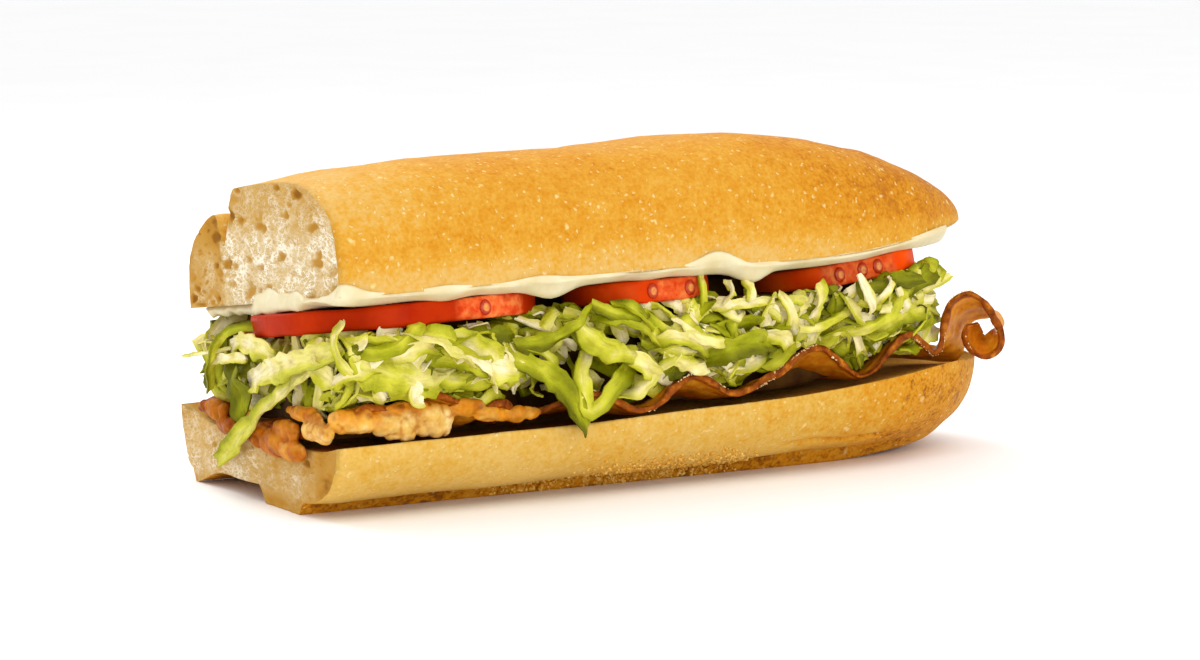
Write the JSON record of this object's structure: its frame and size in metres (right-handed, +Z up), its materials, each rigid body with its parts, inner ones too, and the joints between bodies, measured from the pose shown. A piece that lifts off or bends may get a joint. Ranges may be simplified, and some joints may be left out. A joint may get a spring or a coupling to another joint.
{
  "type": "submarine sandwich",
  "caption": "Half of a filled submarine roll, cut square across at one end and rounded at the other, with bacon, shredded lettuce, tomato slices and mayonnaise between the bread.",
  "frame": {"origin": "a point on the flat underside of the bottom bun, near the middle of its length", "axes": "+X along the roll from the cut face to the rounded tip, +Y from the open front to the back, +Z up"},
  "size_m": [0.1797, 0.0754, 0.0728],
  "materials": {
    "bread_bottom": "pale golden crust with a floury underside, soft cream crumb at the cut",
    "bread_top": "golden crust with pale blisters, soft cream crumb at the cut",
    "bacon": "crisp fried meat with a greasy shine and pale streaks of fat",
    "lettuce": "fresh shredded leaf, waxy, white at the ribs",
    "tomato": "wet sliced flesh and smooth skin",
    "mayonnaise": "thick smooth cream sauce"
  },
  "bodies": {
    "root": {"bottom_bun": "bread_bottom", "bacon_front_right": "bacon", "bacon_front_left": "bacon", "bacon_back": "bacon", "lettuce": "lettuce", "tomato_slice_1": "tomato", "tomato_slice_2": "tomato", "tomato_slice_3": "tomato", "mayonnaise": "mayonnaise", "top_bun": "bread_top"}
  },
  "joints": []
}
